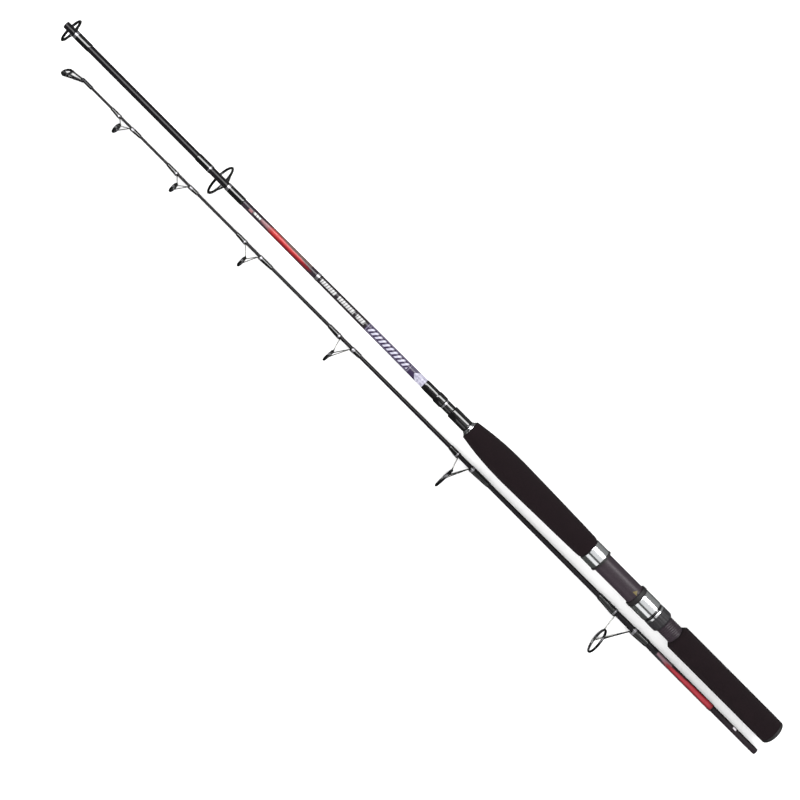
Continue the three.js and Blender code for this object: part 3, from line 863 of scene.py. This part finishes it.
def lock_nut():
    start, end = span("lock_nut", BUTT)
    radius = reach("lock_nut", BUTT)
    profile = [(start, NUT_BORE), (start, radius - 1.6 * MM), (start + 1.8 * MM, radius), (end, radius),
               (end, NUT_BORE)]
    rings = turned(divided(filleted(profile, 0.4 * MM), 0.28 * MM), 432, nut_surface)
    make_piece("lock_nut_knurled", loft(rings, joined=True), BUTT, ["nut"], ["lock_nut"],
               body="lock_nut")
    band_start, band_end = span("lock_nut_band", BUTT)
    band = tube(band_start, band_end, reach("lock_nut_band", BUTT), NUT_BORE, 0.6 * MM)
    make_piece("lock_nut_band_ring", band, BUTT, ["silver"], ["lock_nut_band"],
               body="lock_nut")


def round_piece(name, profile, edge, look, node):
    """A plain turned piece of the handle with its edges rounded off."""
    solid = loft(turned(filleted(profile, edge)), joined=True)
    make_piece(name, solid, BUTT, [look], [node])


def winding_check():
    """The tapered metal ring at the front of the foregrip, with two fine grooves."""
    start, end = span("winding_check", BUTT)
    outline = outline_of("winding_check", BUTT)
    back, front = outline[0][1], outline[-1][1]
    bore = radius_at(BUTT.blank, start) + CLEARANCE
    profile = [(start, bore), (start, back), (start + 0.8 * MM, back)]
    for at in (0.45, 0.7):
        x, r = start + at * (end - start), back + (front - back) * at
        profile += [(x - 0.2 * MM, r), (x, r - 0.25 * MM), (x + 0.2 * MM, r)]
    profile += [(end, front), (end, bore)]
    round_piece("winding_check_ring", profile, 0.25 * MM, "silver", "winding_check")


def fore_collar():
    start, end = span("fore_collar", BUTT)
    radius = reach("fore_collar", BUTT)
    bore = radius_at(BUTT.blank, start) + CLEARANCE
    groove = [(start + 0.6 * MM, radius), (start + 0.9 * MM, radius - 0.3 * MM), (start + 1.2 * MM, radius)]
    profile = [(start, bore), (start, radius), *groove, (end - 0.8 * MM, radius),
               (end, radius - 0.8 * MM), (end, bore)]
    round_piece("fore_collar_tube", profile, 0.3 * MM, "trim", "fore_collar")


def handle_wrap():
    """Thread wound over the blank ahead of the handle, and the sleeve over it. A band of metallic
    thread shows behind the sleeve."""
    start, end = span("handle_wrap", BUTT)
    radius = reach("handle_wrap", BUTT)
    bore = radius_at(BUTT.blank, start) + 0.1 * MM
    profile = [(start, bore), (start, radius - 0.2 * MM), (start + MM, radius), (end - 2.2 * MM, radius),
               (end, radius_at(BUTT.blank, end) + 0.12 * MM), (end, bore - 0.1 * MM)]
    solid = loft(turned(divided(filleted(profile, 0.6 * MM), 2 * MM)), joined=True)
    wrap = make_piece("handle_wrap_thread", solid, BUTT, ["thread", "metal_thread"],
                      ["handle_wrap"])
    sleeve_start, sleeve_end = span("trim_sleeve", BUTT)
    paint(wrap, 1, lambda at: sleeve_start - 3 * MM < at.x < sleeve_start - MM)
    sleeve_radius = reach("trim_sleeve", BUTT)
    inner = radius + 0.2 * MM
    sleeve = [(sleeve_start, inner), (sleeve_start, sleeve_radius - 0.4 * MM),
              (sleeve_start + MM, sleeve_radius), (sleeve_end - 1.6 * MM, sleeve_radius),
              (sleeve_end, inner + 0.1 * MM), (sleeve_end, inner)]
    round_piece("trim_sleeve_gloss", sleeve, 0.5 * MM, "trim", "trim_sleeve")


def arbors():
    """The cork rings between the blank and the seat keep their CAD shapes."""
    for node in ("rear_arbor", "front_arbor"):
        materials = frame["nodes"][node].data.materials
        materials.clear()
        materials.append(LOOKS["cork"])


# ---- decoration on the blanks

def film(name, section, start, end, material):
    """A printed film round a blank."""
    stations = [start + (end - start) * i / 12 for i in range(13)]
    outside = [(x, radius_at(section.blank, x) + FILM) for x in stations]
    inside = [(x, radius_at(section.blank, x) - FILM) for x in reversed(stations)]
    make_piece(name, loft(turned(outside + inside, 64), joined=True), section, [material])


def silver_band():
    """A narrow band of metallic thread between the dashes and the flame."""
    start, end = SILVER_BAND_SPAN
    radius = radius_at(BUTT.blank, start)
    solid = tube(start, end, radius + 0.25 * MM, radius - 0.2 * MM, 0.25 * MM, 64)
    make_piece("silver_band", solid, BUTT, ["metal_thread"])


def decoration():
    film("arrow_film", BUTT, *ARROW_SPAN, arrow_print())
    film("bar_film", BUTT, *BAR_SPAN, bar_print())
    film("dash_film", BUTT, *DASH_SPAN, dash_print())
    film("flame_film", BUTT, *FLAME_SPAN, flame_print())
    silver_band()
    film("tip_flame_film", TIP, *TIP_FLAME_SPAN, tip_flame_print())


# ---- line guides

def lowest_ring_side(points, centre):
    """The middle of a ring's corners that lie furthest from the blank."""
    far = [p for p in points if abs(p.y - centre.y) < 0.02 * MM and p.z < centre.z]
    return sum(far, Vector()) / len(far)


def ring_matrix(guide, section):
    """The frame of a guide's ring, and its hoop's radius. The ring turns about x, and z points
    to the side nearest the blank."""
    points = points_of(guide + "_ring", section)
    low = Vector(map(min, *points))
    high = Vector(map(max, *points))
    centre = (low + high) / 2
    near = (centre - lowest_ring_side(points, centre)).normalized()
    side = Vector((0, 1, 0))
    matrix = Matrix((side.cross(near), side, near)).transposed().to_4x4()
    matrix.translation = centre
    return matrix, (high.y - low.y) / 2 + RING_GAP + HOOP_THICKNESS


def wire_radius(hoop):
    return WIRE_BASE + WIRE_SHARE * hoop


def placed(solid, matrix):
    vertices, faces = solid
    return [matrix @ vertex for vertex in vertices], faces


def guide_hoop(radius):
    """The metal band that holds the ceramic ring, with a rounded back."""
    half, inner = HOOP_WIDTH / 2, radius - HOOP_THICKNESS
    profile = [(-half, inner), (-half, radius - 0.35 * MM), (-0.5 * half, radius), (0.5 * half, radius),
               (half, radius - 0.35 * MM), (half, inner)]
    return loft(turned(filleted(profile, 0.25 * MM), 96), joined=True)


def ceramic_ring(guide, section):
    matrix, hoop = ring_matrix(guide, section)
    outer = hoop - HOOP_THICKNESS - RING_GAP
    half = RING_WIDTH / 2
    profile = [(-half, outer)]
    for i in range(13):
        angle = math.pi * i / 12
        depth = 0.3 * MM + (RING_THICKNESS - 0.3 * MM) * math.sin(angle)
        profile.append((-half * math.cos(angle), outer - depth))
    profile.append((half, outer))
    solid = placed(loft(turned(filleted(profile, 0.08 * MM, steps=2), 96), joined=True), matrix)
    make_piece(guide + "_ring_ceramic", solid, section, ["ceramic"], [guide + "_ring"])


def leg(start, bend, end, wire):
    """A guide's wire leg, which swells where it is brazed to the hoop."""
    points = curve_through(start, bend, end)
    last = len(points) - 1
    radii = [wire * (1 + 0.5 * max(0, k / last - 0.8) / 0.2) for k in range(last + 1)]
    return swept(points, radii)


def guide_foot(root, toe, blank, wire):
    """The flattened end of the wire, lying on the blank's underside and thinning to its toe."""
    rings = []
    for i in range(11):
        t = i / 10
        depth = (wire + 0.125 * MM) * (1 - 0.75 * t)
        width = (wire + 0.4 * MM) * math.sqrt(max(0.05, 1 - t ** 6))
        middle = Vector((root + (toe - root) * t, 0, -(blank + CLEARANCE / 2 + depth)))
        angles = [TURN * k / FOOT_SIDES for k in range(FOOT_SIDES)]
        rings.append([middle + Vector((0, width * math.cos(a), depth * math.sin(a))) for a in angles])
    return loft(rings)


def feet_of(guide, section):
    """For each wrap of a guide: its name, where the foot in it is rooted, where it ends, and the
    blank's greatest radius there."""
    feet = []
    for wrap in ("front", "rear"):
        node = f"{guide}_{wrap}_wrap"
        if node in frame["nodes"]:
            start, end = span(node, section)
            root, toe = (start - MM, end - 4 * MM) if wrap == "front" else (end + MM, start + 4 * MM)
            blank = max(radius_at(section.blank, x) for x in (start, end))
            feet.append((wrap, root, toe, blank))
    return feet


def guide_frame(guide, section):
    matrix, hoop = ring_matrix(guide, section)
    wire = wire_radius(hoop)
    reach_out = hoop - HOOP_THICKNESS / 2
    solids = []
    for wrap, root, toe, blank in feet_of(guide, section):
        base = Vector((root, 0, -(blank + CLEARANCE / 2 + wire)))
        solids.append(guide_foot(root, toe, blank, wire))
        if wrap == "front":
            end = matrix @ Vector((0, 0, reach_out))
            solids.append(leg(base, base.lerp(end, 0.5) + Vector((0.6 * MM, 0, 0)), end, wire))
            continue
        for side in (-1, 1):
            end = matrix @ about_axis(-HOOP_WIDTH / 4, side * FLANK, reach_out)
            bend = base.lerp(end, 0.5) + Vector((0, side * hoop * 0.12, 0))
            solids.append(leg(base, bend, end, wire))
    wires = merged(*solids)
    band = placed(guide_hoop(hoop), matrix)
    piece = make_piece(guide + "_frame_wire", merged(wires, band), section, ["wire", "hoop"],
                       [guide + "_frame"])
    inverse = matrix.inverted()
    paint(piece, 1, lambda at: on_hoop(inverse @ at, hoop))


def on_hoop(point, hoop):
    """Whether a point in a ring's frame lies on its hoop."""
    out = math.hypot(point.y, point.z)
    return abs(point.x) < 0.55 * HOOP_WIDTH and hoop - 1.3 * HOOP_THICKNESS < out < hoop + 0.1 * MM


def wrap_surface(start, end, root, toe, outline, foot_depth):
    """The radius of a guide's wrap at a place: thread over the blank, swollen over the foot and
    rounded down to the blank at both ends."""
    def surface(x, angle, radius):
        blank = radius_at(outline, x)
        if radius < blank:
            return radius
        from_end = min(x - start, end - x)
        rounded = math.sqrt(max(0.0, 1 - max(0.0, 1 - from_end / (1.6 * MM)) ** 2))
        along_foot = min(1.0, max(0.0, (x - toe) / (root - toe)))
        lift = (0.2 + 0.8 * along_foot) * foot_depth
        if (x - toe) * (root - toe) < 0:
            lift *= max(0.0, 1 - abs(x - toe) / (3.5 * MM))
        down = math.pi - abs(math.pi - angle % TURN)
        over_foot = math.exp(-((math.pi - down) / 0.75) ** 2)
        return blank + 0.06 * MM + (RESIN + lift * over_foot) * rounded
    return surface


def guide_wrap(guide, wrap, root, toe, section):
    node = f"{guide}_{wrap}_wrap"
    start, end = span(node, section)
    _, hoop = ring_matrix(guide, section)
    foot_depth = 2 * wire_radius(hoop) + 0.35 * MM
    stations = [start + (end - start) * (1 - math.cos(math.pi * i / 36)) / 2 for i in range(37)]
    outside = [(x, radius_at(section.blank, x) + RESIN) for x in stations]
    inside = [(x, radius_at(section.blank, x) - 0.1 * MM) for x in reversed(stations)]
    surface = wrap_surface(start, end, root, toe, section.blank, foot_depth)
    solid = loft(turned(outside + inside, 64, surface), joined=True)
    piece = make_piece(node + "_thread", solid, section, ["thread", "metal_thread"], [node])
    near = start if wrap == "front" else end
    paint(piece, 1, lambda at: TRIM_INSET < abs(at.x - near) < TRIM_INSET + TRIM_WIDTH[wrap])


def line_guide(guide, section):
    guide_frame(guide, section)
    ceramic_ring(guide, section)
    for wrap, root, toe, _ in feet_of(guide, section):
        guide_wrap(guide, wrap, root, toe, section)


def tip_top():
    """The ring at the end of the rod, on a tube that slips over the blank."""
    matrix, hoop = ring_matrix("tip_top", TIP)
    wire = wire_radius(hoop) + TIP_TOP_STOUTER
    reach_out = hoop - HOOP_THICKNESS / 2
    blank_end = TIP.blank[-1][0]
    start, _ = span("tip_top_frame", TIP)
    end = blank_end + 4 * MM
    radius = TIP.blank[-1][1] + 0.7 * MM
    profile = [(start, 0), (start, radius - 0.4 * MM), (start, radius), (end - MM, radius),
               (end, radius - 0.6 * MM), (end, 0)]
    socket = loft(turned(filleted(profile, 0.3 * MM, closed=False), 48))
    upper = Vector((end - MM, 0, 0))
    near = matrix @ Vector((0, 0, reach_out))
    solids = [socket, leg(upper, upper.lerp(near, 0.5), near, wire)]
    for side in (-1, 1):
        base = Vector((end - 3 * MM, side * 0.8 * MM, -radius + 0.5 * MM))
        far = matrix @ about_axis(0, side * TIP_TOP_BRACE, reach_out)
        solids.append(leg(base, base.lerp(far, 0.5), far, wire))
    band = placed(guide_hoop(hoop), matrix)
    make_piece("tip_top_frame_wire", merged(*solids, band), TIP, ["hoop"], ["tip_top_frame"])
    ceramic_ring("tip_top", TIP)


def tip_blank():
    """The tip section's tapering blank, with the ground end that plugs into the butt section."""
    start, end = TIP.blank[0][0], TIP.blank[-1][0]
    inside = [(start + TIP_BORE_DEPTH + 2 * MM, 0), (start + TIP_BORE_DEPTH, TIP_BORE)]
    closed = [*inside, (start, TIP_BORE + 0.1 * MM), *TIP.blank, (end, 0)]
    rounded = filleted(divided(closed, 40 * MM), 0.3 * MM, closed=False)
    piece = make_piece("tip_blank_tube", loft(turned(rounded, 64)), TIP,
                       ["blank", ferrule_look()], ["tip_blank"])
    paint(piece, 1, lambda at: at.x < FERRULE_LENGTH)


# ---- stage

def floor():
    look = Look("pale_floor", specular_ior_level=0.1)
    cloud = look.noise(6, 3)
    base = look.mix(cloud, (0.91, 0.91, 0.91), (0.93, 0.93, 0.93))
    look.drive(base_color=base, roughness=look.scale_to(cloud, 0.8, 0.9))
    half = 30
    mesh = bpy.data.meshes.new("floor")
    corners = [(-half, -half, 0), (half, -half, 0), (half, half, 0), (-half, half, 0)]
    mesh.from_pydata(corners, [], [(0, 1, 2, 3)])
    mesh.materials.append(look.material)
    surface = bpy.data.objects.new("floor", mesh)
    bpy.context.scene.collection.objects.link(surface)
    surface.visible_glossy = False


def soft_box(name, start, end, width, target, radiance):
    """A soft box between two points that shines on a target. Radiance is its brightness."""
    along = Vector(end) - Vector(start)
    middle = (Vector(start) + Vector(end)) / 2
    light = bpy.data.lights.new(name, "AREA")
    light.shape = "RECTANGLE"
    light.size, light.size_y = along.length, width
    light.energy = radiance * math.pi * along.length * width
    x = along.normalized()
    back = middle - Vector(target)
    z = (back - x * back.dot(x)).normalized()
    lamp = bpy.data.objects.new(name, light)
    lamp.matrix_world = Matrix((x, z.cross(x), z)).transposed().to_4x4()
    lamp.location = middle
    lamp.visible_camera = False
    bpy.context.scene.collection.objects.link(lamp)
    return lamp


def surroundings():
    """Pale all round, except that glossy surfaces mirror a darker room."""
    world = bpy.data.worlds.new("studio")
    world.use_nodes = True
    nodes, links = world.node_tree.nodes, world.node_tree.links
    pale = nodes["Background"]
    pale.inputs["Color"].default_value = (0.97, 0.97, 0.97, 1)
    pale.inputs["Strength"].default_value = 1.75
    room = nodes.new("ShaderNodeBackground")
    room.inputs["Color"].default_value = (0.07, 0.074, 0.07, 1)
    mix = nodes.new("ShaderNodeMixShader")
    links.new(nodes.new("ShaderNodeLightPath").outputs["Is Glossy Ray"], mix.inputs["Fac"])
    links.new(pale.outputs[0], mix.inputs[1])
    links.new(room.outputs[0], mix.inputs[2])
    links.new(mix.outputs[0], nodes["World Output"].inputs["Surface"])
    bpy.context.scene.world = world


def lighting():
    """A bright strip draws the highlight: it stands off to the near side at the handle and over
    the rod at the tips. Dim broad boxes fill in, and the metal hoods mirror two brighter boxes
    with a dark gap between them."""
    soft_box("handle_box", (-1.9, -0.75, 1.9), (-0.2, -0.75, 1.9), 2.7, (-1, -0.75, 0), 0.26)
    soft_box("tip_box", (-0.2, -0.75, 1.9), (1.7, -0.75, 1.9), 2.7, (0.8, -0.75, 0), 0.1)
    soft_box("hood_box", (-1.5, -0.75, 1.85), (-0.3, -0.75, 1.85), 2.7, (-0.75, -0.75, 0), 0.45)
    soft_box("far_box", (-1.5, 1.65, 1.15), (-0.25, 1.65, 1.15), 1.25, (-0.75, 0, 0), 0.95)
    soft_box("near_panel", (-2.0, -2.5, 0.1), (1.8, -2.5, 0.1), 4.2, (0, 0, 0.1), 0.18)
    strip = soft_box("strip", (0.95, 0, 1.05), (-0.95, -1.25, 1.05), 0.6, (0, 0, 0), 10)
    strip.visible_diffuse = False  # it only shows in polish, and casts no shadow


def camera():
    """Straight above the rod, with the rod running from the lower right to the upper left."""
    height, field = 1.526, 0.8944  # the field is how much of the floor the picture spans
    aim_x, aim_y = 0.008, 0.0004
    data = bpy.data.cameras.new("camera")
    data.sensor_width = 36
    data.lens = data.sensor_width * height / field
    eye = bpy.data.objects.new("camera", data)
    side = math.sqrt(0.5)
    right, up = Vector((-side, -side, 0)), Vector((side, -side, 0))
    eye.matrix_world = Matrix((right, up, Vector((0, 0, 1)))).transposed().to_4x4()
    eye.location = (aim_x, aim_y, height)
    bpy.context.scene.collection.objects.link(eye)
    bpy.context.scene.camera = eye
    bpy.context.scene.view_settings.view_transform = "Standard"


# ---- the whole rod

def build_rod():
    butt_blank()
    butt_cap()
    grips()
    reel_seat()
    hoods()
    lock_nut()
    winding_check()
    fore_collar()
    handle_wrap()
    arbors()
    tip_blank()
    decoration()
    for guide in ("butt_guide_1", "butt_guide_2"):
        line_guide(guide, BUTT)
    for number in range(1, 7):
        line_guide(f"tip_guide_{number}", TIP)
    tip_top()


build_rod()
floor()
surroundings()
lighting()
camera()
